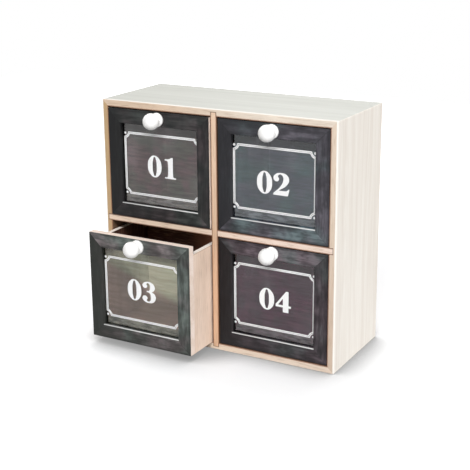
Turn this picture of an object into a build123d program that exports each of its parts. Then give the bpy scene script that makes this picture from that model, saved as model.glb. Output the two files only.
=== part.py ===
"""Tabletop tea chest: a mitred wooden case with four drawers, two over two.

Each drawer has a front frame of four mitred strips round a clear pane, a round knob held by a screw
from inside, and a thin box behind it that slides on the case's own boards. Drawer 03 stands pulled out
and drawer 01 stands a little proud. Millimetres, +Z up, +Y to the back. The origin is the centre of the
case's underside, which is what the chest stands on.
"""
import os
from math import ceil

from build123d import *

# Case: four mitred outer boards, a divider and a shelf let into them, and a thin back panel.
case_width = 242.0
case_depth = 100.0
case_height = 230.0
case_board = 6.5
inner_board = 6.0
housing_wall = 2.5  # wood left outside a housing that the divider or the shelf is let into
housing_fit = 0.1  # clearance round a housed or halved board
case_rounding = 1.0  # sanded outer edges of the case

back_thickness = 3.0
back_recess = 0.5  # the back panel lies this far inside the case's rear edges
rabbet_wall = 3.3  # wood left outside the rabbet that the back panel lies in
back_fit = 0.2  # clearance round the back panel's edges

pin_diameter = 1.0
pin_length = 11.0  # under the head
pin_head_diameter = 2.2
pin_head_thickness = 0.4
pin_fit = 0.05  # radial clearance of a pin in its hole
pin_spacing = 62.0  # widest distance between neighbouring pins
pin_corner_distance = 14.0  # from a corner of the back panel to the first pin

# Drawer front: four mitred strips with a groove for the pane.
front_thickness = 7.5
frame_face = 13.5  # width of a strip, seen from the front
front_rounding = 0.6  # sanded front edges
sight_chamfer = 0.8  # along the inner front edge of each strip
side_gap = 0.9  # between the front and the case, left and right
top_gap = 1.2
bottom_gap = 0.5
front_recess = 0.5  # how far a closed front lies behind the case's front edges

pane_thickness = 1.5
pane_recess = 3.8  # from the front's face to the pane's face
pane_groove_depth = 3.0
pane_fit = 0.1  # clearance on each face of the pane
pane_edge_gap = 0.4  # from the pane's edge to the bottom of its groove

# Drawer box behind the front.
side_thickness = 4.0
side_inset = 0.6  # from the front's edge to the outer face of the side
side_drop = 8.0  # how much lower the sides' top edges are than the front's
drawer_back_thickness = 4.0
rear_gap = 0.5  # between a closed drawer and the case's back panel
bottom_thickness = 3.0
bottom_raise = 3.0  # from the sides' lower edges to the drawer bottom
bottom_groove_depth = 2.0
bottom_fit = 0.1  # clearance of the drawer bottom in its grooves

# Knob: a ball on a round foot, and the screw that holds it.
knob_head_diameter = 15.2
knob_foot_diameter = 13.0
knob_foot_thickness = 2.4
knob_foot_rounding = 0.9
knob_neck_diameter = 9.0
knob_neck_length = 2.8  # from the front's face to the ball
screw_diameter = 3.0
screw_depth_in_knob = 9.0
screw_fit = 0.05  # radial clearance of the screw in the knob
screw_clearance = 0.3  # radial clearance of the screw in the rail
screw_tip_length = 1.2
screw_tip_diameter = 0.8
screw_head_rim = 1.5  # how far the head reaches out past the shank
screw_head_thickness = 1.8
screw_head_rounding = 0.7
screw_cross_length = 3.2
screw_cross_width = 0.7
screw_cross_depth = 0.9

# Each drawer's column, row, and how far it stands pulled out from its closed place.
drawers = {
    "01": ("left", "upper", 2.0),
    "02": ("right", "upper", 0.0),
    "03": ("left", "lower", 40.0),
    "04": ("right", "lower", 0.0),
}

# Worked out from the sizes above.
front_y = -case_depth / 2
rear_y = case_depth / 2
bay_depth = case_depth - back_recess - back_thickness
bay_width = (case_width - 2 * case_board - inner_board) / 2
bay_height = (case_height - 2 * case_board - inner_board) / 2
shelf_z = case_board + bay_height
bay_centres = {"left": -(inner_board + bay_width) / 2, "right": (inner_board + bay_width) / 2}
bay_floors = {"lower": case_board, "upper": shelf_z + inner_board}
bay_rear_y = front_y + bay_depth
halving_y = front_y + bay_depth / 2
front_width = bay_width - 2 * side_gap
front_height = bay_height - top_gap - bottom_gap
box_length = bay_depth - front_recess - front_thickness - rear_gap
box_inner_width = front_width - 2 * side_inset - 2 * side_thickness
side_height = bottom_gap + front_height - side_drop
knob_z = front_height / 2 - frame_face / 2  # above the centre of the front


def block(low, high):
    """A box between two opposite corners."""
    size = [b - a for a, b in zip(low, high)]
    return Pos(*low) * Box(*size, align=(Align.MIN, Align.MIN, Align.MIN))


def prism(outline, y_start, y_end):
    """A solid with this outline of (x, z) points, from one y to another."""
    face = make_face(Polyline(*[(x, y_start, z) for x, z in outline], close=True))
    return extrude(face, amount=y_end - y_start, dir=(0, 1, 0))


def rod(x, z, radius, y_start, y_end):
    """A round bar along y."""
    length = y_end - y_start
    return Pos(x, y_start + length / 2, z) * Rot(X=90) * Cylinder(radius, length)


def spread(low, high, widest):
    """Evenly spaced places from low to high, at most widest apart."""
    steps = max(1, ceil((high - low) / widest))
    return [low + (high - low) * i / steps for i in range(steps + 1)]


# Case boards

half_width = case_width / 2


def case_envelope():
    """The whole case as one block with its sanded outer edges."""
    whole = block((-half_width, front_y, 0), (half_width, rear_y, case_height))
    return fillet(whole.edges(), case_rounding)


def divider_housing():
    """The grooves in the top and the bottom board that take the divider."""
    half = inner_board / 2 + housing_fit
    return block(
        (-half, front_y, housing_wall), (half, bay_rear_y, case_height - housing_wall)
    )


def shelf_housing():
    """The grooves in the side boards that take the shelf."""
    reach = half_width - housing_wall
    low = shelf_z - housing_fit
    return block((-reach, front_y, low), (reach, bay_rear_y, low + inner_board + 2 * housing_fit))


def back_rabbet_space():
    """The step round the rear of the case that the back panel lies in."""
    reach = half_width - rabbet_wall
    return block(
        (-reach, bay_rear_y, rabbet_wall), (reach, rear_y, case_height - rabbet_wall)
    )


def pin_places():
    """Where the back panel's pins stand: (x, z) round its edge and along the divider and the shelf."""
    edge = (case_board + rabbet_wall) / 2
    first = case_board + pin_corner_distance
    columns = spread(first - half_width, half_width - first, pin_spacing)
    rows = spread(first, case_height - first, pin_spacing)
    places = [(x, z) for x in columns for z in (edge, case_height - edge)]
    places += [(x, z) for x in (edge - half_width, half_width - edge) for z in rows]
    places += [(x, shelf_z + inner_board / 2) for x in bay_centres.values()]
    places += [(0, bay_floor + bay_height / 2) for bay_floor in bay_floors.values()]
    return places


pin_face_y = rear_y - back_recess  # the back panel's outer face, under the pin heads


def pin_holes():
    """The holes that the pins make in the panel and the boards."""
    radius = pin_diameter / 2 + pin_fit
    tip_y = pin_face_y - pin_length - pin_fit
    return [rod(x, z, radius, tip_y, pin_face_y) for x, z in pin_places()]


def outer_board(outline):
    """One outer board, with the rabbet, the housing grooves and the pin holes that fall in it."""
    board = prism(outline, front_y, rear_y) & case_envelope()
    board -= [divider_housing(), shelf_housing(), back_rabbet_space()]
    return board - pin_holes()


def outer_boards():
    """The four mitred boards: each outline is a trapezium from the outer to the inner corners."""
    left, right, low, high = -half_width, half_width, 0, case_height
    outer = [(left, low), (right, low), (right, high), (left, high)]
    b = case_board
    inner = [(left + b, low + b), (right - b, low + b), (right - b, high - b), (left + b, high - b)]
    names = ["case_bottom", "case_right", "case_top", "case_left"]
    boards = {}
    for i, name in enumerate(names):
        j = (i + 1) % len(names)
        boards[name] = outer_board([outer[i], outer[j], inner[j], inner[i]])
    return boards


def divider():
    """The upright board, slotted from the rear for the shelf."""
    half = inner_board / 2
    end = housing_wall + housing_fit
    board = block((-half, front_y, end), (half, bay_rear_y, case_height - end))
    slot = block(
        (-inner_board, halving_y, shelf_z - housing_fit),
        (inner_board, rear_y, shelf_z + inner_board + housing_fit),
    )
    return board - slot - pin_holes()


def shelf():
    """The level board, slotted from the front for the divider."""
    reach = half_width - housing_wall - housing_fit
    board = block((-reach, front_y, shelf_z), (reach, bay_rear_y, shelf_z + inner_board))
    half = inner_board / 2 + housing_fit
    slot = block(
        (-half, front_y, shelf_z - inner_board),
        (half, halving_y + housing_fit, shelf_z + 2 * inner_board),
    )
    return board - slot - pin_holes()


def back_panel():
    """The thin panel in the rabbet."""
    edge = rabbet_wall + back_fit
    panel = block(
        (edge - half_width, bay_rear_y, edge), (half_width - edge, pin_face_y, case_height - edge)
    )
    return panel - pin_holes()


def back_panel_pins():
    """Small headed pins, heads on the panel's outer face."""
    pins = []
    for x, z in pin_places():
        shank = rod(x, z, pin_diameter / 2, pin_face_y - pin_length, pin_face_y)
        head = rod(x, z, pin_head_diameter / 2, pin_face_y, pin_face_y + pin_head_thickness)
        pins.append(shank + head)
    return Compound(children=pins)


# Drawer pieces, each about the centre of its front: x and z from the centre, y from the front's face.

pane_groove = pane_thickness + 2 * pane_fit
floor_z = -front_height / 2 - bottom_gap  # the board that the drawer slides on
side_top_z = floor_z + side_height
bottom_low_z = floor_z + bottom_raise
bottom_high_z = bottom_low_z + bottom_thickness
box_rear_y = front_thickness + box_length
inner_half = box_inner_width / 2


def front_envelope():
    """The whole front as one block, its front edges sanded round."""
    half_w, half_h = front_width / 2, front_height / 2
    whole = block((-half_w, 0, -half_h), (half_w, front_thickness, half_h))
    front_face = whole.faces().sort_by(Axis.Y)[0]
    return fillet(front_face.edges(), front_rounding)


def bottom_space():
    """The room that the drawer bottom takes in the frame and in the sides, with its clearance."""
    half = inner_half + bottom_groove_depth
    return block(
        (-half, front_thickness - bottom_groove_depth, bottom_low_z - bottom_fit),
        (half, box_rear_y, bottom_high_z + bottom_fit),
    )


def strip(length, reach, turn):
    """One mitred strip of the front: a prism of its section, cut to a trapezium and turned into place.

    length is its outer edge's length, and reach is the distance from the front's centre to that edge.
    """
    inner = frame_face - reach
    half = length / 2
    low_y = pane_recess - pane_fit
    section = [
        (0, -reach),
        (front_thickness, -reach),
        (front_thickness, inner),
        (low_y + pane_groove, inner),
        (low_y + pane_groove, inner - pane_groove_depth),
        (low_y, inner - pane_groove_depth),
        (low_y, inner),
        (sight_chamfer, inner),
        (0, inner - sight_chamfer),
    ]
    face = make_face(Polyline(*[(-half, y, z) for y, z in section], close=True))
    bar = extrude(face, amount=length, dir=(1, 0, 0))
    mitred = [(-half, -reach), (half, -reach), (half - frame_face, inner), (frame_face - half, inner)]
    return Rot(Y=turn) * (bar & prism(mitred, 0, front_thickness)) & front_envelope()


def knob_hole():
    """The hole in the top rail that the knob's screw passes through."""
    return rod(0, knob_z, screw_diameter / 2 + screw_clearance, 0, front_thickness)


def pane():
    """The clear pane, a little smaller than the grooves round it."""
    half_w = front_width / 2 - frame_face + pane_groove_depth - pane_edge_gap
    half_h = front_height / 2 - frame_face + pane_groove_depth - pane_edge_gap
    return block((-half_w, pane_recess, -half_h), (half_w, pane_recess + pane_thickness, half_h))


def knob():
    """The ball and its foot, turned as one, with a blind hole for the screw."""
    ball = knob_head_diameter / 2
    ball_y = -knob_neck_length - ball
    foot = rod(0, 0, knob_foot_diameter / 2, -knob_foot_thickness, 0)
    foot = fillet(foot.edges().group_by(Axis.Y)[0], knob_foot_rounding)
    neck = rod(0, 0, knob_neck_diameter / 2, ball_y, 0)
    turned = foot + neck + Pos(0, ball_y, 0) * Sphere(ball)
    hole = rod(0, 0, screw_diameter / 2 + screw_fit, -screw_depth_in_knob, 0)
    return Pos(0, 0, knob_z) * (turned - hole)


def knob_screw():
    """A pan-head screw: its head on the rail's inner face, its pointed end in the knob."""
    radius = screw_diameter / 2
    tip_y = screw_fit - screw_depth_in_knob
    shank_y = tip_y + screw_tip_length
    shank = rod(0, 0, radius, shank_y, front_thickness)
    point = Rot(X=90) * Cone(radius, screw_tip_diameter / 2, screw_tip_length)
    point = Pos(0, (tip_y + shank_y) / 2, 0) * point
    head_y = front_thickness + screw_head_thickness
    head = rod(0, 0, radius + screw_head_rim, front_thickness, head_y)
    head = fillet(head.edges().group_by(Axis.Y)[-1], screw_head_rounding)
    half, width = screw_cross_length / 2, screw_cross_width / 2
    floor_y = head_y - screw_cross_depth
    cross = [
        block((-half, floor_y, -width), (half, head_y, width)),
        block((-width, floor_y, -half), (width, head_y, half)),
    ]
    return Pos(0, 0, knob_z) * (shank + point + head - cross)


def drawer_side():
    """The right side board behind the front, grooved inside for the drawer bottom."""
    outer = inner_half + side_thickness
    board = block((inner_half, front_thickness, floor_z), (outer, box_rear_y, side_top_z))
    return board - bottom_space()


def drawer_back():
    """The board between the sides at the rear, standing on the drawer bottom."""
    return block(
        (-inner_half, box_rear_y - drawer_back_thickness, bottom_high_z),
        (inner_half, box_rear_y, side_top_z),
    )


def drawer_bottom():
    """The thin panel in the grooves, slid in from the rear."""
    half = inner_half + bottom_groove_depth - bottom_fit
    front_edge_y = front_thickness - bottom_groove_depth + bottom_fit
    return block((-half, front_edge_y, bottom_low_z), (half, box_rear_y, bottom_high_z))


def drawer_pieces():
    """Every piece of one drawer, named as it is on the bench."""
    half_w, half_h = front_width / 2, front_height / 2
    room = bottom_space()
    side = drawer_side()
    return {
        "rail_top": strip(front_width, half_h, 180) - knob_hole(),
        "rail_bottom": strip(front_width, half_h, 0) - room,
        "stile_left": strip(front_height, half_w, 90) - room,
        "stile_right": strip(front_height, half_w, -90) - room,
        "pane": pane(),
        "knob": knob(),
        "knob_screw": knob_screw(),
        "side_left": mirror(side, about=Plane.YZ),
        "side_right": side,
        "back": drawer_back(),
        "bottom": drawer_bottom(),
    }


def drawer_place(column, row, pulled):
    """Where the centre of a drawer front's face stands in the case."""
    return Pos(bay_centres[column], front_y + front_recess - pulled, bay_floors[row] - floor_z)


nodes = outer_boards()
nodes["divider"] = divider()
nodes["shelf"] = shelf()
nodes["back_panel"] = back_panel()
nodes["back_panel_pins"] = back_panel_pins()
pieces = drawer_pieces()
for number, (column, row, pulled) in drawers.items():
    place = drawer_place(column, row, pulled)
    for name, piece in pieces.items():
        nodes[f"drawer_{number}_{name}"] = place * piece

os.makedirs("parts", exist_ok=True)
for name, shape in nodes.items():
    export_step(shape, os.path.join("parts", f"{name}.step"))
print(f"{len(nodes)} nodes, bays {bay_width:.1f} x {bay_height:.1f}, drawer inside {box_inner_width:.1f}")
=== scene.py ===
"""Tabletop tea chest: a pale wooden case with four glazed, numbered drawers and white knobs."""
from math import asin, cos, pi, radians, sin

import bmesh
import bpy
from mathutils import Matrix, Vector


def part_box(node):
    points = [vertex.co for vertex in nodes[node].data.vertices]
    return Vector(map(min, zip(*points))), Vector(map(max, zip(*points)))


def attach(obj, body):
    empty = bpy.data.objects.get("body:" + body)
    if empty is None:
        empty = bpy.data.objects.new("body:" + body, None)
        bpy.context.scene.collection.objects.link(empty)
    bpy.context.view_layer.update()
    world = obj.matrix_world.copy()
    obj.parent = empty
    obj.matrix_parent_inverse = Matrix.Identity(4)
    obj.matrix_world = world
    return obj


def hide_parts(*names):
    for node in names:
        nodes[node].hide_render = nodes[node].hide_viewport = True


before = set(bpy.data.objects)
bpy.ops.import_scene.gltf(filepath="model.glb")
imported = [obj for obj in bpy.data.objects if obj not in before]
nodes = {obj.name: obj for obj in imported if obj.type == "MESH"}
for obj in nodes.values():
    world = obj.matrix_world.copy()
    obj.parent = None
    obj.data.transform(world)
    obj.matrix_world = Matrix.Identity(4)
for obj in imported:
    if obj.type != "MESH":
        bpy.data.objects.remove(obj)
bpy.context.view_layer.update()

mm = 0.001


# ---------------------------------------------------------------------------------------------------
# Case boards: four outer boards mitred at the corners, with an upright divider and a level shelf housed
# in them, all glued. Light, straight-grained softwood, washed thinly in white outside and sanded on the
# front edges. The bays' faces are painted dark brown as shade, and painted shade darkens the front edges
# next to the bays' arrises.
# ---------------------------------------------------------------------------------------------------


class Wire:
    """One output of a node. Arithmetic on it adds Math nodes to the same tree."""

    def __init__(self, graph, socket):
        self.graph, self.socket = graph, socket

    def math(self, operation, *values):
        inputs = dict(enumerate((self, *values)))
        return self.graph.node("ShaderNodeMath", {"operation": operation}, inputs)

    def reflected(self, operation, value):
        return self.graph.node("ShaderNodeMath", {"operation": operation}, {0: value, 1: self})

    def __add__(self, other):
        return self.math("ADD", other)

    def __radd__(self, other):
        return self.reflected("ADD", other)

    def __sub__(self, other):
        return self.math("SUBTRACT", other)

    def __rsub__(self, other):
        return self.reflected("SUBTRACT", other)

    def __mul__(self, other):
        return self.math("MULTIPLY", other)

    def __rmul__(self, other):
        return self.reflected("MULTIPLY", other)

    def __truediv__(self, other):
        return self.math("DIVIDE", other)

    def __rtruediv__(self, other):
        return self.reflected("DIVIDE", other)

    def __abs__(self):
        return self.math("ABSOLUTE")

    def rise(self, low, high):
        """Goes smoothly from 0 at low to 1 at high."""
        inputs = {"Value": self, "From Min": low, "From Max": high}
        return self.graph.node("ShaderNodeMapRange", {"interpolation_type": "SMOOTHSTEP"}, inputs)


class Graph:
    """Adds nodes to one tree, of a material, a world or Geometry Nodes."""

    def __init__(self, tree):
        self.tree = tree
        tree.nodes.clear()

    def node(self, kind, settings=None, inputs=None, output=0):
        """A node of this type, with its settings, then the values or links of its sockets.

        It gives the output with that number or name, or a list of them for a tuple.
        """
        node = self.tree.nodes.new(kind)
        for name, value in (settings or {}).items():
            setattr(node, name, value)
        for key, value in (inputs or {}).items():
            if isinstance(value, Wire):
                self.tree.links.new(value.socket, node.inputs[key])
            else:
                node.inputs[key].default_value = value
        if isinstance(output, tuple):
            return [Wire(self, node.outputs[key]) for key in output]
        return Wire(self, node.outputs[output]) if len(node.outputs) else None

    def mix(self, share, first, second):
        """One colour or the other, by share."""
        first, second = [
            colour if isinstance(colour, Wire) else (*colour, 1) for colour in (first, second)
        ]
        return self.node("ShaderNodeMix", {"data_type": "RGBA"}, {0: share, 6: first, 7: second}, 2)

    def point(self):
        """The point on the object, in metres."""
        return self.node("ShaderNodeTexCoord", output="Object")

    def place(self):
        """The point on the object, and its x, y and z."""
        point = self.point()
        return point, *self.node("ShaderNodeSeparateXYZ", inputs={0: point}, output=(0, 1, 2))

    def noise(self, point, stretch, offset=(0, 0, 0), detail=3.0, roughness=0.55):
        """Cloudy noise whose patches are 1 / stretch metres long on each axis."""
        mapped = {"Vector": point, "Location": offset, "Scale": stretch}
        moved = self.node("ShaderNodeMapping", inputs=mapped)
        inputs = {"Vector": moved, "Scale": 1.0, "Detail": detail, "Roughness": roughness}
        return self.node("ShaderNodeTexNoise", inputs=inputs)


def new_material(name):
    made = bpy.data.materials.new(name)
    made.use_nodes = True
    return made, Graph(made.node_tree)


def principled(graph, colour, roughness, relief=None, depth=0.0001, **constants):
    """The shader of a surface. relief is a height from 0 to 1, worth depth metres."""
    inputs = {"Base Color": colour, "Roughness": roughness}
    if relief is not None:
        bump = {"Height": relief, "Distance": depth, "Strength": 1.0}
        inputs["Normal"] = graph.node("ShaderNodeBump", inputs=bump)
    inputs.update({name.replace("_", " "): value for name, value in constants.items()})
    return graph.node("ShaderNodeBsdfPrincipled", inputs=inputs)


def give(material, graph, shader):
    graph.node("ShaderNodeOutputMaterial", inputs={"Surface": shader})
    return material


def dress(name, material):
    """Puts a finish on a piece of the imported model."""
    mesh = nodes[name].data
    mesh.materials.clear()
    mesh.materials.append(material)


grain_length = 20  # how much longer the marks of the grain are than they are wide


def wood_grain(graph, point, along, seed):
    """Wide soft bands, growth lines and fine pores along one axis, each from 0 to 1."""
    def stretched(across):
        return [across / grain_length if axis == along else across for axis in "XYZ"]

    offset = (seed * 3.1, seed * 1.7, seed * 2.3)
    bands = graph.noise(point, stretched(95.0), offset, detail=2.0)
    growth = graph.noise(point, stretched(42.0), offset, detail=1.0)
    lines = (growth * 90.0).math("SINE") * 0.5 + 0.5
    pores = graph.noise(point, stretched(1500.0), offset, detail=2.0).rise(0.5, 0.72)
    return bands, lines, pores


low_corner, high_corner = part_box("case_top")
case_half_width = high_corner.x
case_height = high_corner.z
case_front = low_corner.y
# Painted shade: the bays' faces are coloured dark brown for the shade deep inside them.
bay_pale, bay_dark = (0.15, 0.085, 0.045), (0.10, 0.055, 0.03)
skin = 0.3 * mm  # how deep a finish on an outer face is taken to reach


def case_wood(board, along, seed, wash, greyed, first_edge, last_edge, housed=False):
    """A board washed outside and sanded on its front edge, with painted shade in the bays and beside them.

    wash is its palest and darkest colour, and greyed how much it greys to the left. The front edge goes
    from its first colour to its last along the board. housed is for one whose ends show in the others.
    """
    material, graph = new_material(f"{board}_wood")
    point, *axes = graph.place()
    x, y, z = axes
    bands, lines, pores = wood_grain(graph, point, along, seed)
    tone = bands.rise(0.3, 0.7) * 0.7 + lines * 0.3

    washed = graph.mix(tone * 0.8, *wash)
    to_left = 1 - (x / case_half_width).rise(-1.1, 0.5)
    washed = graph.mix(greyed * to_left, washed, (0.28, 0.28, 0.24))
    washed = graph.mix(pores * 0.10, washed, (0.55, 0.47, 0.40))
    # Painted highlight: the outside faces are paler within a few millimetres of the front edge.
    painted_front_highlight = 1 - (y - case_front).rise(0.8 * mm, 4.5 * mm)
    washed = graph.mix(painted_front_highlight * 0.6, washed, (0.97, 0.91, 0.85))

    low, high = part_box(board)
    lengthwise, crosswise = (2, 0) if along == "Z" else (0, 2)
    middle, half_size = (low + high) / 2, (high - low) / 2
    to_end, to_face = [half_size[i] - abs(axes[i] - middle[i]) for i in (lengthwise, crosswise)]
    heart = (0, 0, case_height / 2)[crosswise]
    bay_face = min(low[crosswise], high[crosswise], key=lambda face: abs(face - heart))
    to_bay = to_face if housed else abs(axes[crosswise] - bay_face)
    way = (x / case_half_width * 0.5 + 0.5) if along == "X" else z / case_height
    sanded = graph.mix(way.rise(0.2, 0.8), first_edge, last_edge)
    sanded = graph.mix(tone * 0.25, sanded, (0.52, 0.32, 0.19))
    # Painted shade of the gaps round the drawers: the front edge is painted darker within a millimetre of each
    # bay.
    painted_gap_shade = 1 - to_bay.rise(0.4 * mm, 1.1 * mm)
    sanded = graph.mix(painted_gap_shade * 0.85, sanded, (0.23, 0.09, 0.045))
    inner = (y - case_front).rise(0.2 * mm, 0.6 * mm)
    # Behind the front face each board takes the bays' painted shade colours.
    raw = graph.mix(inner, sanded, graph.mix(tone, bay_pale, bay_dark))
    if housed:
        sides_of_joint = (1 - to_face.rise(0.15 * mm, 0.65 * mm)) * (1 - to_end.rise(3.6 * mm, 4.0 * mm))
        joint = sides_of_joint.math("MAXIMUM", 1 - to_end.rise(0.2 * mm, 0.8 * mm))
        raw = graph.mix(joint * 0.75, raw, (0.10, 0.055, 0.035))
    raw = graph.mix(pores * 0.35, raw, (0.30, 0.18, 0.10))

    outside = abs(x).rise(case_half_width - 4 * skin, case_half_width - 3 * skin)
    outside = outside.math("MAXIMUM", z.rise(case_height - 2 * skin, case_height - skin))
    outside = outside.math("MAXIMUM", 1 - z.rise(skin, 2 * skin))
    colour = graph.mix(outside, raw, washed)
    roughness = 0.52 + 0.12 * bands + 0.08 * pores
    relief = 1 - 0.6 * pores - 0.25 * lines
    return give(material, graph, principled(graph, colour, roughness, relief, 0.06 * mm))


top_wash = (0.59, 0.595, 0.555), (0.51, 0.513, 0.475)
side_wash = (0.87, 0.83, 0.77), (0.74, 0.675, 0.605)
case_boards = {  # the grain's way, seed, wash, greying to the left, and the front edge's two colours
    "case_top": ("X", 1, top_wash, 0.24, (0.76, 0.60, 0.46), (0.86, 0.77, 0.66)),
    "case_bottom": ("X", 2, top_wash, 0.0, (0.70, 0.56, 0.42), (0.82, 0.68, 0.56)),
    "case_left": ("Z", 3, side_wash, 0.0, (0.57, 0.38, 0.21), (0.54, 0.37, 0.20)),
    "case_right": ("Z", 4, side_wash, 0.0, (0.70, 0.565, 0.455), (0.84, 0.71, 0.58)),
    "divider": ("Z", 5, side_wash, 0.0, (0.71, 0.46, 0.30), (0.87, 0.64, 0.47), True),
    "shelf": ("X", 6, side_wash, 0.0, (0.94, 0.75, 0.60), (0.93, 0.76, 0.66), True),
}
for board, finish in case_boards.items():
    dress(board, case_wood(board, *finish))


# ---------------------------------------------------------------------------------------------------
# Back panel: a thin plain board in the rabbet round the rear of the case.
# It is pinned through into the boards, the divider and the shelf with small domed steel pins.
# ---------------------------------------------------------------------------------------------------

material, graph = new_material("back_board")
bands, _, pores = wood_grain(graph, graph.point(), "Z", 7)
colour = graph.mix(bands.rise(0.3, 0.7), (0.62, 0.47, 0.33), (0.50, 0.36, 0.24))
colour = graph.mix(pores * 0.4, colour, (0.30, 0.20, 0.13))
shader = principled(graph, colour, 0.6 + 0.1 * bands, 1 - pores, 0.05 * mm)
dress("back_panel", give(material, graph, shader))


# ---------------------------------------------------------------------------------------------------
# Drawer fronts: each is a frame of four mitred strips, glued at the corners.
# Charcoal paint brushed along each strip covers the face and the recess and laps a little over the
# outer edges, which are raw wood behind that, as is the back of the frame.
# ---------------------------------------------------------------------------------------------------

drawer_numbers = ["01", "02", "03", "04"]
strip_width, front_thickness = 13.5 * mm, 7.5 * mm


def front_box(number):
    """The middle of a drawer's front and half its size, with the face's y as the middle's."""
    low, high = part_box(f"drawer_{number}_rail_bottom")[0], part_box(f"drawer_{number}_rail_top")[1]
    middle, half_size = (low + high) / 2, (high - low) / 2
    middle.y = low.y
    return middle, half_size


def tinged(colour, tinge, strength=1.0):
    """The colour with its red, green and blue raised or lowered by these shares."""
    return [share * (1 + strength * shift) for share, shift in zip(colour, tinge)]


def front_paint(number, seed, thick, thin, wear, top_rail_sheen, side_lap, end_lap):
    """Charcoal paint, from its thick to its thin colour, with painted sheen paler to the right and on the rails.

    wear is how far the paint is worn thin, and the next argument is the top rail's painted sheen: how much
    paler it is than the bottom rail. It laps over the outer edges by side_lap, and by end_lap at the top and
    bottom.
    """
    material, graph = new_material(f"front_paint_{number}")
    middle, half_size = front_box(number)
    point, x, y, z = graph.place()
    from_side = half_size.x - abs(x - middle.x)
    from_end = half_size.z - abs(z - middle.z)
    level = (from_side - from_end).rise(-0.1 * mm, 0.1 * mm)  # 1 on the rails, 0 on the stiles
    mitre = 1 - abs(from_side - from_end).rise(0.05 * mm, 0.35 * mm)
    offset = (seed * 2.9, seed * 1.3, seed * 4.1)
    rail_brush = graph.noise(point, (60, 900, 900), offset, 4.0, 0.6)
    stile_brush = graph.noise(point, (900, 900, 60), offset, 4.0, 0.6)
    brush = rail_brush * level + stile_brush * (1 - level)
    rail_streak = graph.noise(point, (50, 260, 260), offset, 3.0, 0.6)
    stile_streak = graph.noise(point, (260, 260, 50), offset, 3.0, 0.6)
    streak = (rail_streak * level + stile_streak * (1 - level)).rise(0.35, 0.68)
    cloud = graph.noise(point, (60, 60, 60), offset, 3.0)
    to_right = (x - middle.x) / half_size.x
    upward = (z - middle.z) / half_size.z
    # Painted sheen: paler towards the right and on the rails, and on one rail more than the other; the cloud and
    # streaks are the paint's own wear.
    wear_and_sheen = 0.30 + 0.36 * to_right + level * (0.45 + top_rail_sheen * upward)
    wear_and_sheen = wear_and_sheen * (0.25 + 0.75 * cloud.rise(0.3, 0.7)) * wear
    wear_and_sheen = wear_and_sheen * (0.55 + 0.9 * streak)
    rim = 1 - from_side.math("MINIMUM", from_end).rise(0.6 * mm, 3.2 * mm)
    wear_and_sheen = wear_and_sheen * (1 - 0.55 * rim) + 0.05 * streak
    hue = graph.noise(point, (30, 30, 30), (seed * 5.3, 0, 0), 2.0).rise(0.38, 0.62)
    cold, warm = tinged(thin, (-0.12, 0.05, 0.02)), tinged(thin, (0.12, -0.06, 0.03))
    colour = graph.mix(wear_and_sheen, thick, graph.mix(hue, cold, warm))
    colour = graph.mix(brush.rise(0.45, 0.8) * 0.35, colour, (0.010, 0.010, 0.011))
    colour = graph.mix(mitre * 0.7, colour, (0.006, 0.006, 0.006))
    bands, _, pores = wood_grain(graph, point, "X", seed + 10)
    raw = graph.mix(bands.rise(0.3, 0.7), (0.90, 0.77, 0.69), (0.80, 0.65, 0.55))
    raw = graph.mix(pores * 0.3, raw, (0.45, 0.30, 0.20))
    edge = 0.2 * mm
    depth = y - middle.y
    bare_sides = (1 - from_side.rise(edge, 2 * edge)) * depth.rise(side_lap, side_lap + 0.3 * mm)
    bare_ends = (1 - from_end.rise(edge, 2 * edge)) * depth.rise(end_lap, end_lap + 0.3 * mm)
    bare = bare_sides.math("MAXIMUM", bare_ends)
    back = depth.rise(front_thickness - 0.3 * mm, front_thickness - 0.1 * mm)
    bare = bare.math("MAXIMUM", back)
    # Painted highlight along the bottom rail's inner chamfer, brighter to the right.
    ledge = z - (middle.z - half_size.z + strip_width)
    painted_chamfer_highlight = ledge.rise(-1.1 * mm, -0.8 * mm) * (1 - ledge.rise(0.0, 0.2 * mm))
    painted_chamfer_highlight = painted_chamfer_highlight * depth.rise(0.0, 0.2 * mm) * (1 - depth.rise(0.9 * mm, 1.3 * mm))
    painted_chamfer_highlight = painted_chamfer_highlight * from_side.rise(strip_width - 3 * mm, strip_width - 2 * mm)
    colour = graph.mix(painted_chamfer_highlight * (0.8 + 0.2 * to_right), colour, (0.72, 0.73, 0.72))
    colour = graph.mix(bare, colour, raw)
    roughness = 0.45 + 0.2 * brush + 0.15 * bare
    relief = 0.7 * brush + 0.3 * cloud - 0.8 * mitre
    shader = principled(graph, colour, roughness, relief, 0.10 * mm, Specular_IOR_Level=0.2)
    return give(material, graph, shader)


paints = {  # thick and thin colour, wear, the top rail's painted sheen, and the laps at sides and ends
    "01": ((0.007, 0.007, 0.0075), (0.115, 0.110, 0.106), 0.48, 0.0, 0.1 * mm, 2.6 * mm),
    "02": ((0.018, 0.018, 0.021), (0.170, 0.187, 0.203), 0.83, -0.32, 0.9 * mm, 1.2 * mm),
    "03": ((0.022, 0.024, 0.021), (0.225, 0.222, 0.211), 0.89, 0.40, 0.4 * mm, 0.6 * mm),
    "04": ((0.010, 0.008, 0.009), (0.160, 0.148, 0.156), 0.73, 0.44, 0.9 * mm, 1.2 * mm),
}
for seed, (number, coats) in enumerate(paints.items()):
    paint = front_paint(number, seed, *coats)
    for strip in ("rail_top", "rail_bottom", "stile_left", "stile_right"):
        dress(f"drawer_{number}_{strip}", paint)


# ---------------------------------------------------------------------------------------------------
# Drawer boxes: two thin sides, a back between them and a thin bottom let into grooves.
# Plain planed softwood, glued behind the front. Raw outside and brown inside, with painted shade inside that
# is darkest round the rim and towards the back, and paler and redder to the right. A painted highlight lies
# on the sides' top edges, with a painted shadow line under it.
# ---------------------------------------------------------------------------------------------------


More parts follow.
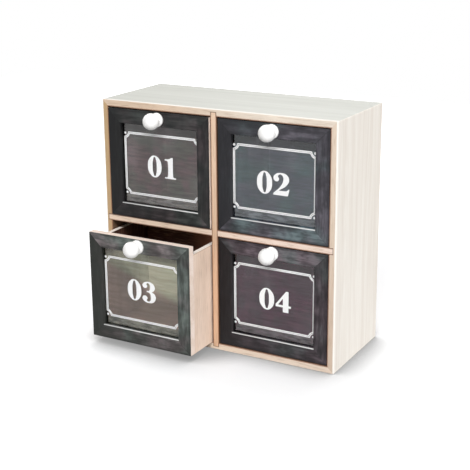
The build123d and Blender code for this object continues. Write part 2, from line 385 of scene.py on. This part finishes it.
def drawer_wood(name, along, seed, number):
    material, graph = new_material(f"{name}_wood")
    middle, _ = front_box(number)
    left_face, right_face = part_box(f"drawer_{number}_side_left")[1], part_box(f"drawer_{number}_side_right")[0]
    back_face, bottom_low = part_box(f"drawer_{number}_back")[0].y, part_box(f"drawer_{number}_bottom")[0].z
    rim, inner_half_width = left_face.z, (right_face.x - left_face.x) / 2
    point, x, y, z = graph.place()
    bands, lines, pores = wood_grain(graph, point, along, seed)
    tone = bands.rise(0.3, 0.7) * 0.75 + lines * 0.25
    raw = graph.mix(tone, (0.86, 0.70, 0.59), (0.75, 0.58, 0.46))
    from_top = rim - z
    # Painted highlight on the top edges, and just under them on the faces a painted shadow line.
    raw = graph.mix(1 - from_top.rise(0.1 * mm, 0.3 * mm), raw, (0.92, 0.84, 0.77))
    painted_shadow_line = from_top.rise(0.1 * mm, 0.4 * mm) * (1 - from_top.rise(0.9 * mm, 1.5 * mm))
    raw = graph.mix(painted_shadow_line * 0.45, raw, (0.35, 0.20, 0.13))
    # Painted shade inside: darkest round the rim, reaching further down towards the back, and paler and redder
    # to the right.
    deep = graph.mix(tone, (0.055, 0.021, 0.014), (0.038, 0.015, 0.010))
    to_right = ((x - middle.x) / inner_half_width).rise(-0.1, 1.0)
    deep = graph.mix(to_right, deep, (0.55, 0.22, 0.12))
    thin = graph.mix(tone, (0.49, 0.45, 0.40), (0.40, 0.36, 0.31))
    below_rim = from_top - 0.2 * (y - middle.y)
    brown_and_shade = graph.mix(below_rim.rise(8 * mm, 18 * mm), deep, thin)
    inside = 1 - abs(x - middle.x).rise(inner_half_width + 0.05 * mm, inner_half_width + 0.2 * mm)
    inside = inside * (1 - y.rise(back_face + 0.1 * mm, back_face + 0.3 * mm))
    inside = inside * (1 - z.rise(rim - 0.4 * mm, rim - 0.2 * mm))
    inside = inside * z.rise(bottom_low + 0.5 * mm, bottom_low + 1.0 * mm)
    colour = graph.mix(inside, raw, brown_and_shade)
    colour = graph.mix(pores * 0.3, colour, (0.30, 0.19, 0.12))
    relief = 1 - 0.6 * pores - 0.2 * lines
    roughness = 0.58 + 0.1 * bands
    shader = principled(graph, colour, roughness, relief, 0.06 * mm, Specular_IOR_Level=0.1)
    return give(material, graph, shader)


for seed, number in enumerate(drawer_numbers):
    for part, along in (("side_left", "Z"), ("side_right", "Z"), ("back", "X"), ("bottom", "X")):
        name = f"drawer_{number}_{part}"
        dress(name, drawer_wood(name, along, seed * 4 + len(part), number))


# ---------------------------------------------------------------------------------------------------
# Panes: faintly smoked clear sheets in the grooves of the fronts, put in before the frames were glued.
# Polished, with the faint dust and wiping marks that such a sheet picks up.
# ---------------------------------------------------------------------------------------------------


lamp_share = 0.09  # how much of a lamp's light passes a pane, next to what the eye sees through it
pale_foot_top, shade_starts = -30.4 * mm, 30.3 * mm  # heights where the pale foot ends and the head's painted shade starts


def smoked_pane(number, seed, tint, foot_tint, painted_head_shade, coat, gloss, blotches, painted_wedge):
    """A clear sheet, smoked to tint, paler at its foot, and darker above the print as painted shade.

    The smoke is blotched with mauve and olive, and the last argument paints a lit wedge: olive up on the right,
    with darker mauve shade low down.
    coat is the share of a glossy film over it, broken up by smears, and gloss the shine of the sheet.
    """
    material, graph = new_material(f"smoked_pane_{number}")
    middle, _ = front_box(number)
    point, x, y, z = graph.place()
    upward = z - middle.z
    offset = (seed * 4.0, 0, seed * 2.0)
    smears = graph.noise(point, (55, 55, 25), offset, 4.0).rise(0.45, 0.8)
    hue = graph.noise(point, (38, 38, 38), offset, 2.0).rise(0.36, 0.64)
    # Painted light: a lit wedge up on the right, with painted shade, darker and mauve, low down.
    lit_wedge_mask = (upward + 0.37 * (x - middle.x)).rise(5 * mm, 13 * mm)
    hue = hue * (1 - painted_wedge) + lit_wedge_mask * painted_wedge
    mauve, olive = tinged(tint, (0.10, -0.10, -0.02), blotches), tinged(tint, (-0.10, 0.05, -0.05), blotches)
    streaks = graph.noise(point, (45, 45, 380), offset, 3.0, 0.6).rise(0.3, 0.7)
    smoke = graph.mix(hue, mauve, olive)
    smoke = graph.mix(streaks * blotches * 0.35, smoke, [share * 0.5 for share in tint])
    smoke = graph.mix((1 - lit_wedge_mask) * painted_wedge * 0.35, smoke, [share * 0.5 for share in mauve])
    foot_marks = graph.noise(point, (70, 70, 420), offset, 4.0, 0.65).rise(0.32, 0.62)
    pale_foot = graph.mix(foot_marks, [share * 0.45 for share in foot_tint], foot_tint)
    foot = 1 - upward.rise(pale_foot_top - 0.5 * mm, pale_foot_top + 0.5 * mm)
    # Painted shade under the top rail: the pane is darker above the print.
    head = upward.rise(shade_starts - 0.7 * mm, shade_starts + 0.7 * mm)
    smoke = graph.mix(foot, smoke, pale_foot)
    smoke = graph.mix(head * painted_head_shade, smoke, (0.03, 0.025, 0.028))
    glass = principled(
        graph, smoke, 0.02 + 0.10 * smears, None, IOR=1.49, Transmission_Weight=1.0,
        Coat_Weight=coat * (0.35 + 0.65 * smears), Coat_Roughness=0.03, Specular_IOR_Level=gloss,
    )
    dimmed = [share * lamp_share for share in tint]
    through = graph.node("ShaderNodeBsdfTransparent", inputs={"Color": (*dimmed, 1)})
    lamp_ray = graph.node("ShaderNodeLightPath", output="Is Shadow Ray")
    pane = graph.node("ShaderNodeMixShader", inputs={0: lamp_ray, 1: glass, 2: through})
    return give(material, graph, pane)


smokes = {  # tint, pale foot tint, painted shade of the head, coat, gloss, blotches and painted lit wedge
    # The tints differ as painted light and shade: pane 03 is nearly clear for the lit inside of the open drawer,
    # the others dark for the shade inside the closed ones.
    "01": ((0.62, 0.54, 0.54), (0.94, 0.96, 0.96), 0.65, 1.0, 0.60, 1.3, 0.0),
    "02": ((0.51, 0.67, 0.80), (0.82, 0.90, 1.00), 0.65, 1.0, 0.60, 0.9, 0.0),
    "03": ((1.00, 0.98, 0.88), (0.80, 0.90, 0.86), 0.25, 0.0, 0.25, 0.9, 0.8),
    "04": ((0.47, 0.23, 0.39), (0.76, 0.79, 0.83), 0.60, 0.75, 0.46, 1.5, 0.0),
}
for seed, (number, smoke) in enumerate(smokes.items()):
    dress(f"drawer_{number}_pane", smoked_pane(number, seed, *smoke))


# ---------------------------------------------------------------------------------------------------
# Print on the panes: white ink on the front of each, a double line round a two-figure number.
# The lines turn in at the corners round a dot. Printed by hand through a screen, so no two sit alike.
# ---------------------------------------------------------------------------------------------------

border_width, border_height = 82.6 * mm, 60.6 * mm
line_width, line_gap = 1.05 * mm, 0.2 * mm
bend_guard = 0.6 * mm  # from each bend to the next point on the straight
corner_radius = 4.5 * mm
dot_diameter, dot_inset = 2.3 * mm, 1.5 * mm
ink_thickness, ink_lift = 0.05 * mm, 0.01 * mm

material, graph = new_material("white_ink")
speckle = graph.noise(graph.point(), (700, 700, 700), detail=3.0)
colour = graph.mix(speckle.rise(0.4, 0.75), (0.97, 0.97, 0.97), (0.90, 0.90, 0.91))
shader = principled(
    graph, colour, 0.45 + 0.2 * speckle, speckle, 0.01 * mm, Coat_Weight=1.0, Coat_Roughness=0.15
)
ink = give(material, graph, shader)


def border_path(inset, steps=10):
    """The middle of one line of the border, moved in by inset, flat and anticlockwise.

    The sides are straight and the corners hollow. A point close to each bend keeps the line's width.
    """
    half_w, half_h = border_width / 2, border_height / 2
    radius = corner_radius + inset
    first = asin(inset / radius)
    corners = []
    for sign_x, sign_y, turn in ((-1, -1, 0), (1, -1, 1), (1, 1, 2), (-1, 1, 3)):
        angles = [
            pi / 2 - first - (pi / 2 - 2 * first) * step / steps + turn * pi / 2
            for step in range(steps + 1)
        ]
        corners.append([
            Vector((sign_x * half_w + radius * cos(angle), sign_y * half_h + radius * sin(angle), 0))
            for angle in angles
        ])
    path = []
    for corner, following in zip(corners, corners[1:] + corners[:1]):
        along = (following[0] - corner[-1]).normalized() * bend_guard
        path += [*corner, corner[-1] + along, following[0] - along]
    return path


def start_tree(name, sizes):
    """A Geometry Nodes tree whose inputs are a shape, the sizes by name and a material."""
    tree = bpy.data.node_groups.new(name, "GeometryNodeTree")
    tree.interface.new_socket("Geometry", in_out="INPUT", socket_type="NodeSocketGeometry")
    for size, value in sizes.items():
        made = tree.interface.new_socket(size, in_out="INPUT", socket_type="NodeSocketFloat")
        made.default_value = value
    tree.interface.new_socket("Material", in_out="INPUT", socket_type="NodeSocketMaterial")
    tree.interface.new_socket("Geometry", in_out="OUTPUT", socket_type="NodeSocketGeometry")
    graph = Graph(tree)
    names = ("Geometry", *sizes, "Material")
    return graph, dict(zip(names, graph.node("NodeGroupInput", output=names)))


def joined(graph, *shapes):
    """The shapes as one."""
    join = graph.tree.nodes.new("GeometryNodeJoinGeometry")
    for shape in shapes:
        graph.tree.links.new(shape.socket, join.inputs[0])
    return Wire(graph, join.outputs[0])


def finish_tree(graph, inputs, shape):
    """Ends a tree: real faces in place of instances, in its material."""
    real = graph.node("GeometryNodeRealizeInstances", inputs={"Geometry": shape})
    finished = graph.node("GeometryNodeSetMaterial", inputs={
        "Geometry": real, "Material": inputs["Material"]})
    graph.node("NodeGroupOutput", inputs={"Geometry": finished})


def flat_mesh(source):
    """A plain mesh of an object as its curves or nodes shape it. The object itself goes."""
    bpy.context.scene.collection.objects.link(source)
    view = bpy.context.evaluated_depsgraph_get()
    mesh = bpy.data.meshes.new_from_object(source.evaluated_get(view))
    bpy.data.objects.remove(source)
    return mesh


def grown(name, points, edges, tree, material):
    """The plain mesh that a tree makes on these points and edges."""
    base = bpy.data.meshes.new(name)
    base.from_pydata(points, edges, [])
    source = bpy.data.objects.new(name, base)
    modifier = source.modifiers.new(name, "NODES")
    modifier.node_group = tree
    for item in tree.interface.items_tree:
        if item.name == "Material":
            modifier[item.identifier] = material
    return flat_mesh(source)


def border_tree():
    """Lines along their middles, and a dot in each corner, all stood up to face the front."""
    graph, inputs = start_tree("print_border", {
        "Line Width": line_width, "Ink Thickness": ink_thickness, "Dot Diameter": dot_diameter,
        "Dots Across": border_width - 2 * dot_inset, "Dots Up": border_height - 2 * dot_inset,
    })
    path = graph.node("GeometryNodeMeshToCurve", inputs={0: inputs["Geometry"]})
    section = graph.node("GeometryNodeCurvePrimitiveQuadrilateral", inputs={
        "Width": inputs["Line Width"], "Height": inputs["Ink Thickness"]})
    lines = graph.node("GeometryNodeCurveToMesh", inputs={"Curve": path, "Profile Curve": section})
    corners = graph.node("GeometryNodeMeshGrid", inputs={
        "Size X": inputs["Dots Across"], "Size Y": inputs["Dots Up"], "Vertices X": 2, "Vertices Y": 2})
    dot = graph.node("GeometryNodeMeshCylinder", inputs={
        "Vertices": 24, "Radius": inputs["Dot Diameter"] * 0.5, "Depth": inputs["Ink Thickness"]})
    dots = graph.node("GeometryNodeInstanceOnPoints", inputs={"Points": corners, "Instance": dot})
    upright = graph.node("GeometryNodeTransform", inputs={
        "Geometry": joined(graph, lines, dots), "Rotation": (pi / 2, 0, 0)})
    finish_tree(graph, inputs, upright)
    return graph.tree


def oval(middle, half_width, half_height):
    """An upright oval outline, halfway up a figure."""
    turns = [pi / 4 * step for step in range(8)]
    return [
        (middle + half_width * cos(turn), figure_height / 2 + half_height * sin(turn), "s") for turn in turns
    ]


# Each figure: width, space before it, and closed outlines of (x, y, kind), "s" smooth or "c" corner.
figure_height = 20
figures = {
    "0": (15.0, 0.0, [oval(7.5, 7.5, 10.3), oval(7.5, 2.2, 9.0)]),
    "1": (12.2, 3.2, [
        [(0.3, 0, "c"), (12.2, 0, "c"), (12.2, 1.2, "c"), (9.6, 1.6, "s"), (9.2, 3.0, "s"),
         (9.2, 20, "c"), (7.6, 20, "c"), (5.0, 18.6, "s"), (0.4, 18.0, "c"), (0.4, 16.9, "c"),
         (3.0, 16.6, "s"), (3.6, 15.4, "s"), (3.6, 3.0, "s"), (3.2, 1.6, "s"), (0.3, 1.2, "c")],
    ]),
    "2": (16.3, 0.6, [
        [(0.6, 0, "c"), (14.6, 0, "c"), (16.2, 6.0, "c"), (15.2, 6.2, "c"), (13.6, 4.6, "s"),
         (11.4, 4.2, "c"), (5.6, 4.2, "c"), (13.2, 9.4, "s"), (15.8, 14.4, "s"), (13.4, 18.9, "s"),
         (8.4, 20.2, "s"), (3.0, 18.8, "s"), (0.6, 15.0, "s"), (3.4, 12.2, "s"), (6.2, 14.6, "s"),
         (5.0, 17.0, "s"), (7.4, 18.8, "s"), (9.6, 17.4, "s"), (10.2, 14.2, "s"), (8.2, 9.2, "s"),
         (0.6, 1.4, "c")],
    ]),
    "3": (15.0, 0.7, [
        [(0.4, 3.8, "s"), (2.8, 0.8, "s"), (7.2, -0.2, "s"), (12.6, 1.2, "s"), (15.0, 5.8, "s"),
         (13.8, 9.0, "s"), (10.8, 10.6, "c"), (13.2, 12.4, "s"), (14.2, 15.2, "s"),
         (12.2, 18.8, "s"), (7.4, 20.2, "s"), (2.8, 19.0, "s"), (0.8, 16.2, "s"), (3.4, 13.8, "s"),
         (6.0, 15.8, "s"), (5.2, 17.8, "s"), (7.0, 18.9, "s"), (8.6, 17.6, "s"), (9.0, 14.8, "s"),
         (8.0, 12.0, "s"), (5.2, 11.2, "c"), (5.2, 10.2, "c"), (8.4, 9.4, "s"), (9.6, 6.0, "s"),
         (9.0, 2.4, "s"), (7.0, 1.1, "s"), (5.2, 2.0, "s"), (6.0, 4.4, "s"), (3.2, 6.6, "s")],
    ]),
    "4": (15.4, 1.3, [
        [(7.4, 0, "c"), (13.0, 0, "c"), (13.0, 4.6, "c"), (15.4, 4.6, "c"), (15.4, 6.6, "c"),
         (13.0, 6.6, "c"), (13.0, 20, "c"), (10.6, 20, "c"), (0.2, 6.8, "c"), (0.2, 4.6, "c"),
         (7.4, 4.6, "c")],
        [(7.4, 6.6, "c"), (2.6, 6.6, "c"), (7.4, 12.8, "c")],
    ]),
}


figure_scale = 1.015 * mm
placing = {  # in mm off the pane's middle: border across, figures across and up
    "01": (1.3, 1.2, -0.4), "02": (-0.2, -0.9, -2.4), "03": (0.6, 0.2, 1.0), "04": (0.0, 1.3, -0.3),
}


def number_curve(name, text, depth):
    """The figures side by side, centred on the origin in x and y, as a flat curve of some depth."""
    curve = bpy.data.curves.new(name, "CURVE")
    curve.dimensions, curve.fill_mode = "2D", "BOTH"
    curve.extrude, curve.resolution_u = depth / 2, 8
    start = -sum(sum(figures[figure][:2]) for figure in text) / 2
    for figure in text:
        width, space, outlines = figures[figure]
        start += space
        for outline in outlines:
            spline = curve.splines.new("BEZIER")
            spline.bezier_points.add(len(outline) - 1)
            spline.use_cyclic_u = True
            for knot, (u, v, kind) in zip(spline.bezier_points, outline):
                knot.co = ((start + u) * figure_scale, (v - figure_height / 2) * figure_scale, 0)
                knot.handle_left_type = knot.handle_right_type = "AUTO" if kind == "s" else "VECTOR"
        start += width
    return bpy.data.objects.new(name, curve)


def add_piece(name, mesh, material, body):
    """A finished piece at the origin, riding on a body."""
    mesh.materials.clear()
    mesh.materials.append(material)
    piece = bpy.data.objects.new(name, mesh)
    bpy.context.scene.collection.objects.link(piece)
    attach(piece, body)
    return piece


paths = [border_path(inset) for inset in (line_width / 2, line_width * 1.5 + line_gap)]
path_points = [point for path in paths for point in path]
path_edges = [
    (len(paths[0]) * i + j, len(paths[0]) * i + (j + 1) % len(path))
    for i, path in enumerate(paths) for j in range(len(path))
]
border = grown("print_border", path_points, path_edges, border_tree(), ink)

for number in drawer_numbers:
    low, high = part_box(f"drawer_{number}_pane")
    middle = (low + high) / 2
    middle.y = low.y - ink_lift - ink_thickness / 2
    digits = flat_mesh(number_curve(f"figures_{number}", number, ink_thickness))
    border_across, across, up = [offset * mm for offset in placing[number]]
    digits.transform(Matrix.Translation((across, 0, up)) @ Matrix.Rotation(pi / 2, 4, "X"))
    print_mesh = bmesh.new()
    print_mesh.from_mesh(border)
    bmesh.ops.translate(print_mesh, verts=print_mesh.verts, vec=(border_across, 0, 0))
    print_mesh.from_mesh(digits)
    bmesh.ops.remove_doubles(print_mesh, verts=print_mesh.verts, dist=1e-7)
    bmesh.ops.recalc_face_normals(print_mesh, faces=print_mesh.faces)
    bmesh.ops.translate(print_mesh, verts=print_mesh.verts, vec=middle)
    mesh = bpy.data.meshes.new(f"print_{number}")
    print_mesh.to_mesh(mesh)
    print_mesh.free()
    add_piece(f"print_{number}", mesh, ink, f"drawer_{number}")


# ---------------------------------------------------------------------------------------------------
# Knobs: a ball on a round foot with a hollow between them, turned in one piece.
# Softwood under two coats of white gloss, each held by a screw from behind the top rail.
# ---------------------------------------------------------------------------------------------------

material, graph = new_material("knob_paint")
point = graph.point()
peel = graph.noise(point, (900, 900, 900), detail=2.0)
tone = graph.noise(point, (60, 60, 60), detail=2.0)
colour = graph.mix(tone.rise(0.35, 0.7), (0.97, 0.965, 0.955), (0.92, 0.91, 0.895))
knob_paint = give(material, graph, principled(graph, colour, 0.32 + 0.1 * tone, peel, 0.03 * mm))

ball_radius, foot_radius, foot_height = 7.6 * mm, 6.5 * mm, 2.4 * mm
foot_rounding, waist_radius = 0.9 * mm, 4.6 * mm
leaves = radians(42)  # where the hollow meets the ball, from the axis
foot_steps, hollow_steps, ball_steps, turning_steps = 6, 8, 28, 56


def knob_profile(height):
    """Radius and distance from the rail, from the middle of the foot's seat to the top of the ball."""
    points = [(0.0, 0.0), (foot_radius, 0.0)]
    for step in range(foot_steps + 1):
        angle = pi / 2 * step / foot_steps
        points.append((
            foot_radius - foot_rounding * (1 - cos(angle)),
            foot_height - foot_rounding * (1 - sin(angle)),
        ))
    centre = height - ball_radius
    rim, meets = points[-1], (ball_radius * sin(leaves), centre - ball_radius * cos(leaves))
    for step in range(1, hollow_steps):  # a smooth bend through the waist
        way = step / hollow_steps
        chord = rim[0] + (meets[0] - rim[0]) * way
        dip = 4 * way * (1 - way) * ((rim[0] + meets[0]) / 2 - waist_radius)
        points.append((chord - dip, rim[1] + (meets[1] - rim[1]) * way))
    for step in range(ball_steps + 1):
        angle = leaves + (pi - leaves) * step / ball_steps
        points.append((ball_radius * sin(angle), centre - ball_radius * cos(angle)))
    points[-1] = (0.0, height)
    return points


for number in drawer_numbers:
    low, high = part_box(f"drawer_{number}_knob")
    turned = bmesh.new()
    profile = [
        turned.verts.new(((low.x + high.x) / 2 + radius, high.y - along, (low.z + high.z) / 2))
        for radius, along in knob_profile(high.y - low.y)
    ]
    edges = [turned.edges.new(pair) for pair in zip(profile, profile[1:])]
    axis_point = ((low.x + high.x) / 2, 0, (low.z + high.z) / 2)
    bmesh.ops.spin(
        turned, geom=profile + edges, cent=axis_point, axis=(0, 1, 0), angle=2 * pi, steps=turning_steps
    )
    bmesh.ops.remove_doubles(turned, verts=turned.verts, dist=1e-6)
    bmesh.ops.recalc_face_normals(turned, faces=turned.faces)
    for face in turned.faces:
        face.smooth = True
    mesh = bpy.data.meshes.new(f"knob_{number}")
    turned.to_mesh(mesh)
    turned.free()
    knob = add_piece(f"knob_{number}", mesh, knob_paint, f"drawer_{number}")
    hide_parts(f"drawer_{number}_knob")


# ---------------------------------------------------------------------------------------------------
# Knob screws: pan heads with a cross recess, in bright zinc-plated steel.
# Each bears on the back of a front's top rail and goes through it into the knob.
# ---------------------------------------------------------------------------------------------------

material, graph = new_material("zinc_steel")
wear = graph.noise(graph.point(), (800, 800, 800), detail=3.0)
colour = graph.mix(wear.rise(0.4, 0.7), (0.62, 0.62, 0.61), (0.48, 0.48, 0.47))
zinc = give(material, graph, principled(graph, colour, 0.3 + 0.2 * wear, wear, 0.01 * mm, Metallic=1.0))
for number in drawer_numbers:
    dress(f"drawer_{number}_knob_screw", zinc)


# ---------------------------------------------------------------------------------------------------
# Back-panel pins: 24 short steel pins with low domed heads, the same zinc plate as the screws.
# Driven through the back panel, five along each board, two down the divider and two along the shelf.
# ---------------------------------------------------------------------------------------------------

pin_head_radius, pin_head_height = 1.1 * mm, 0.4 * mm
shank_radius, shank_length = 0.5 * mm, 10.6 * mm
panel_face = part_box("back_panel")[1].y
rows = [  # pins, first place and step, as x and z in millimetres
    (5, (-100.5, 4.9), (50.25, 0)), (5, (-100.5, 225.1), (50.25, 0)),
    (5, (-116.1, 20.5), (0, 47.25)), (5, (116.1, 20.5), (0, 47.25)),
    (2, (-58.75, 115.0), (117.5, 0)), (2, (0, 59.25), (0, 111.5)),
]


def pin_tree():
    """A pin at each point, driven forwards: a squashed ball for the head and a thin shank."""
    graph, inputs = start_tree("back_panel_pins", {
        "Head Radius": pin_head_radius, "Head Height": pin_head_height,
        "Shank Radius": shank_radius, "Shank Length": shank_length,
    })
    ball = graph.node("GeometryNodeMeshUVSphere", inputs={"Segments": 16, "Rings": 10, "Radius": 1.0})
    shape = graph.node("ShaderNodeCombineXYZ", inputs={
        0: inputs["Head Radius"], 1: inputs["Head Radius"], 2: inputs["Head Height"]})
    head = graph.node("GeometryNodeTransform", inputs={"Geometry": ball, "Scale": shape})
    rod = graph.node("GeometryNodeMeshCylinder", inputs={
        "Vertices": 12, "Radius": inputs["Shank Radius"], "Depth": inputs["Shank Length"]})
    down = graph.node("ShaderNodeCombineXYZ", inputs={2: inputs["Shank Length"] * -0.5})
    shank = graph.node("GeometryNodeTransform", inputs={"Geometry": rod, "Translation": down})
    pin = graph.node("GeometryNodeTransform", inputs={
        "Geometry": joined(graph, head, shank), "Rotation": (-pi / 2, 0, 0)})
    placed = graph.node("GeometryNodeInstanceOnPoints", inputs={
        "Points": inputs["Geometry"], "Instance": pin})
    finish_tree(graph, inputs, placed)
    return graph.tree


points = [
    Vector(((first[0] + step[0] * i) * mm, panel_face, (first[1] + step[1] * i) * mm))
    for count, first, step in rows for i in range(count)
]
mesh = grown("back_panel_pins", points, [], pin_tree(), zinc)
for face in mesh.polygons:
    face.use_smooth = True
pins = add_piece("pins", mesh, zinc, "case")
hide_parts("back_panel_pins")


# ---------------------------------------------------------------------------------------------------
# Studio: a white floor that keeps a soft shadow, darkest where the chest meets it, and an even white
# surround. A long strip lamp hangs over the front right, with weaker soft ones right, behind and left.
# ---------------------------------------------------------------------------------------------------

half = 1.3  # of the floor, in metres
floor_mesh = bpy.data.meshes.new("floor")
floor_mesh.from_pydata(
    [(-half, -half, 0), (half, -half, 0), (half, half, 0), (-half, half, 0)], [], [(0, 1, 2, 3)]
)
floor = bpy.data.objects.new("floor", floor_mesh)
bpy.context.scene.collection.objects.link(floor)
material, graph = new_material("floor_paper")
point, x, y, z = graph.place()
seen, mirrored = graph.node("ShaderNodeLightPath", output=("Is Camera Ray", "Is Glossy Ray"))
contact = graph.node("ShaderNodeAmbientOcclusion", {"samples": 8}, {"Distance": 0.04}, "AO")
dusk = 1 - contact.rise(0.35, 1.0)
looked_at = graph.mix(dusk, (0.62, 0.623, 0.63), (0.04, 0.04, 0.041))
tone = graph.mix(seen, (0.53, 0.53, 0.53), looked_at)
paper = graph.node("ShaderNodeBsdfDiffuse", inputs={"Color": tone})
# The paper shines a little by itself, more so away from the chest and on its left.
away = graph.node("ShaderNodeVectorMath", {"operation": "LENGTH"}, {0: point}, "Value").rise(0.2, 0.7)
open_air = graph.node("ShaderNodeAmbientOcclusion", {"samples": 8}, {"Distance": 0.08}, "AO")
to_left = 1 - x.rise(-0.12, 0.06)
lit = (0.40 + 0.54 * away + 0.12 * to_left) * (0.6 + 0.4 * open_air)
glow = graph.node("ShaderNodeEmission", inputs={"Strength": seen * lit + mirrored * 0.65})
both = graph.node("ShaderNodeAddShader", inputs={0: paper, 1: glow})
floor_mesh.materials.append(give(material, graph, both))

world = bpy.data.worlds.new("surround")
bpy.context.scene.world = world
world.use_nodes = True
graph = Graph(world.node_tree)
seen, mirrored, through_pane = graph.node(
    "ShaderNodeLightPath", output=("Is Camera Ray", "Is Glossy Ray", "Is Transmission Ray")
)
visible = seen.math("MAXIMUM", mirrored).math("MAXIMUM", through_pane)
surround_light = 0.10
strength = surround_light + visible * (1 - surround_light)
shader = graph.node("ShaderNodeBackground", inputs={"Color": (1, 1, 1, 1), "Strength": strength})
graph.node("ShaderNodeOutputWorld", inputs={"Surface": shader})


def soft_lamp(name, place, target, width, height, power):
    lamp = bpy.data.lights.new(name, "AREA")
    lamp.shape, lamp.size, lamp.size_y, lamp.energy = "RECTANGLE", width, height, power
    stand = bpy.data.objects.new(name, lamp)
    bpy.context.scene.collection.objects.link(stand)
    aim = Vector(target) - Vector(place)
    stand.matrix_world = Matrix.Translation(place) @ aim.to_track_quat("-Z", "Y").to_matrix().to_4x4()


soft_lamp("key_lamp", (1.68, -3.17, 3.49), (1.68, 0, 0.1), 3.4, 0.35, 236.0)
soft_lamp("side_lamp", (3.4, -0.45, 1.0), (0, 0, 0.1), 1.3, 1.3, 50.0)
soft_lamp("back_lamp", (-0.3, 1.0, 2.4), (0, 0, 0.1), 1.5, 1.5, 26.0)
soft_lamp("left_lamp", (-2.9, 1.3, 1.0), (0, 0, 0.1), 1.6, 1.6, 25.0)

scene = bpy.context.scene
scene.view_settings.view_transform = "Standard"
image_width = 470.0  # pixels, as is the height
camera_data = bpy.data.cameras.new("camera")
camera_data.sensor_width = 36.0
focal_pixels, principal_row = 1070.4, 207.0
camera_place = 0.4749, -0.8593, 0.4047
yaw, pitch, roll = radians(29.259), radians(15.774), radians(-0.428)
camera_data.lens = focal_pixels / image_width * camera_data.sensor_width
camera_data.shift_y = (principal_row - image_width / 2) / image_width
camera = bpy.data.objects.new("camera", camera_data)
scene.collection.objects.link(camera)
camera.matrix_world = (
    Matrix.Translation(camera_place) @ Matrix.Rotation(yaw, 4, "Z")
    @ Matrix.Rotation(pi / 2 - pitch, 4, "X") @ Matrix.Rotation(roll, 4, "Z")
)
scene.camera = camera
